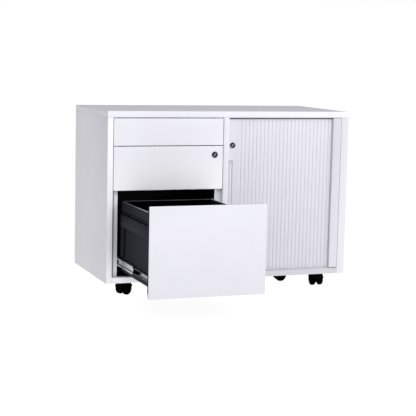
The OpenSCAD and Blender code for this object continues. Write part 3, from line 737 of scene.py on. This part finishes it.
def rims(label, z):
    """The folded rim of a drawer box: strips left and behind, grey as a painted highlight on a black rim, and
    a bead on the right, white as a painted reflection.
    """
    out = -OPEN if label == "file" else 0.0
    bm = bmesh.new()
    left = ((BOX_X0 - 1.4, RIM_START, 1.2), (BOX_X0 + 5.0, RIM_END, 2.6))
    rear = ((BOX_X0, RIM_END - 3.4, 1.0), (BOX_X1, RIM_END + 0.4, 2.4))
    for (x0, y0, h0), (x1, y1, h1) in (left, rear):
        add_box(bm, at(x0, y0 + out, z + h0), at(x1, y1 + out, z + h1), 0.5 * MM, 2)
    obj_from(bm, label + "_rim", RIM_HIGHLIGHT_GREY, label + "_drawer")
    bm = bmesh.new()
    add_prism(bm, arc(BOX_X1 - 0.6, z + 1.4, BEAD_R, 0, 345, 23),
              lambda u, v, w: at(u, RIM_START + out + w, v), RIM_END - RIM_START)
    obj_from(bm, label + "_right_rim", RIM_REFLECTION_WHITE, label + "_drawer")


for label, z in RIM_Z.items():
    rims(label, z)

# ---------------------------------------------------------------- casters

CASTERS = {
    "front_left": (91, 58, 212), "front_right": (809, 58, 270), "middle": (698, 159, -10),
    "rear_left": (91, 372, 250), "rear_right": (809, 372, 300),
}
WHEEL_R = 21.0
WHEEL_W = 12.4
WHEEL_GAP = 16.8
TRAIL = 16.0


def wheel_profile():
    """A wheel from its bore outwards: recessed inner face, round tread, dished outer face and hub cap."""
    w = WHEEL_W
    profile = [(3.05, 0.4), (6.0, 0.4), (6.4, 1.2), (15.5, 1.2), (16.2, 0.2), (18.2, 0.0)]
    profile += arc(WHEEL_R - 3.0, 3.0, 3.0, -90, 0, 5) + arc(WHEEL_R - 3.2, w - 3.2, 3.2, 0, 90, 5)
    profile += [(15.9, w - 0.1), (15.2, w - 0.9), (9.0, w - 1.3)]
    return profile + [(7.4, w - 1.2), (6.6, w - 0.3), (0.0, w)]


def caster(label, x, y, angle):
    """The two wheels on one axle, and the CAD hood with its edges rounded."""
    base = Matrix.Translation(at(x, y, -CASTER_H)) @ Matrix.Rotation(math.radians(angle), 4, "Z")
    for side, tag in ((1, "a"), (-1, "b")):
        bm = bmesh.new()
        inner_face = Matrix.Translation((TRAIL * MM, side * WHEEL_GAP / 2 * MM, WHEEL_R * MM))
        axle = base @ inner_face @ Matrix.Rotation(math.radians(-90 * side), 4, "X")
        lathe(bm, wheel_profile(), axle, LATHE_STEPS)
        node = "wheel_" + label + "_" + tag
        obj_from(bm, "disc_" + label + "_" + tag, WHEEL, node, [node])
    soften("hood_" + label, 0.8 * MM, 2)


for label, (x, y, angle) in CASTERS.items():
    caster(label, x, y, angle)

# ---------------------------------------------------------------- fasteners

SCREW_X = (30, 428.25, 870)
SCREW_Z = (30, 283.25, 536.5)
SCREW_HEAD = [
    (0.0, 0.6), (0.8, 0.6), (1.1, 1.15), (2.2, 1.2), (3.0, 0.95), (3.6, 0.35), (3.6, 0.0), (0.0, 0.0),
]
SHEET = 1.2

bm = bmesh.new()
for x in SCREW_X:
    for z in SCREW_Z:
        axis = Matrix.Translation(at(x, CABINET_D - SHEET, z)) @ Matrix.Rotation(math.radians(-90), 4, "X")
        lathe(bm, SCREW_HEAD, axis, SCREW_STEPS)
obj_from(bm, "back_screws", SCREW, "cabinet", ["panel_screws"])

# ---------------------------------------------------------------- studio

FLOOR_SIZE = 400
FLOOR_GLOW = 0.93
SKY_BASE = 0.40
SKY_OVERHEAD = 0.25
SKY_FRONT = 1.40
SKY_FROM = 0.10
KEY_DIRECTION = (0.30, -0.95, 0.50)
HORIZON_GLOW = 1.05
HORIZON_HEIGHT = 0.10

bpy.ops.mesh.primitive_plane_add(size=FLOOR_SIZE)
floor = bpy.context.object
floor.name = "studio_floor"
FLOOR = surface("studio floor", (0.10, 0.10, 0.101), (0.12, 0.12, 0.121), (0.7, 0.85), blotch=0.5, grain=30,
                height=0.0001)
FLOOR.node_tree.nodes["Principled BSDF"].inputs["Emission Color"].default_value = (1, 1, 1, 1)
FLOOR.node_tree.nodes["Principled BSDF"].inputs["Emission Strength"].default_value = FLOOR_GLOW
dress(floor, FLOOR)


def studio_world():
    """A pale sky, brightest in front like a large soft box, with a white band at the horizon."""
    world = bpy.data.worlds.new("studio")
    bpy.context.scene.world = world
    world.use_nodes = True
    tree = world.node_tree
    coords = tree.nodes.new("ShaderNodeTexCoord")

    def ramp(value, low, high, from_low, from_high):
        r = tree.nodes.new("ShaderNodeMapRange")
        r.interpolation_type = "SMOOTHSTEP"
        limits = {"From Min": from_low, "From Max": from_high, "To Min": low, "To Max": high}
        for key, number in limits.items():
            r.inputs[key].default_value = number
        tree.links.new(value, r.inputs["Value"])
        return r.outputs["Result"]

    def maths(operation, a, b):
        m = tree.nodes.new("ShaderNodeMath")
        m.operation = operation
        tree.links.new(a, m.inputs[0])
        tree.links.new(b, m.inputs[1])
        return m.outputs[0]

    dot = tree.nodes.new("ShaderNodeVectorMath")
    dot.operation = "DOT_PRODUCT"
    dot.inputs[1].default_value = Vector(KEY_DIRECTION).normalized()
    tree.links.new(coords.outputs["Generated"], dot.inputs[0])
    split = tree.nodes.new("ShaderNodeSeparateXYZ")
    tree.links.new(coords.outputs["Generated"], split.inputs["Vector"])
    front = ramp(dot.outputs["Value"], SKY_BASE, SKY_FRONT, SKY_FROM, 1.0)
    above = ramp(split.outputs["Z"], 0.0, SKY_OVERHEAD, 0.3, 1.0)
    band = ramp(split.outputs["Z"], HORIZON_GLOW, 0.0, 0.03, HORIZON_HEIGHT)
    back = tree.nodes["Background"]
    back.inputs["Color"].default_value = (0.985, 0.985, 1.0, 1)
    tree.links.new(maths("MAXIMUM", maths("ADD", front, above), band), back.inputs["Strength"])


studio_world()

# ---------------------------------------------------------------- camera

YAW, PITCH, ROLL = 0.36008, 0.12857, 0.02203
CAMERA_PLACE = (-1.5937, -4.0216, 0.8537)
LENS = 107.25
forward = Vector((math.sin(YAW) * math.cos(PITCH), math.cos(YAW) * math.cos(PITCH), -math.sin(PITCH)))
level = Vector((math.cos(YAW), -math.sin(YAW), 0))
upright = level.cross(forward)
right = math.cos(ROLL) * level + math.sin(ROLL) * upright
up = -math.sin(ROLL) * level + math.cos(ROLL) * upright
camera_data = bpy.data.cameras.new("camera")
camera_data.sensor_width = 36.0
camera_data.lens = LENS
camera_data.clip_end = 1000
camera = bpy.data.objects.new("camera", camera_data)
bpy.context.scene.collection.objects.link(camera)
camera.matrix_world = Matrix.Translation(CAMERA_PLACE) @ Matrix((right, up, -forward)).transposed().to_4x4()
bpy.context.scene.camera = camera
bpy.context.scene.view_settings.view_transform = "Standard"
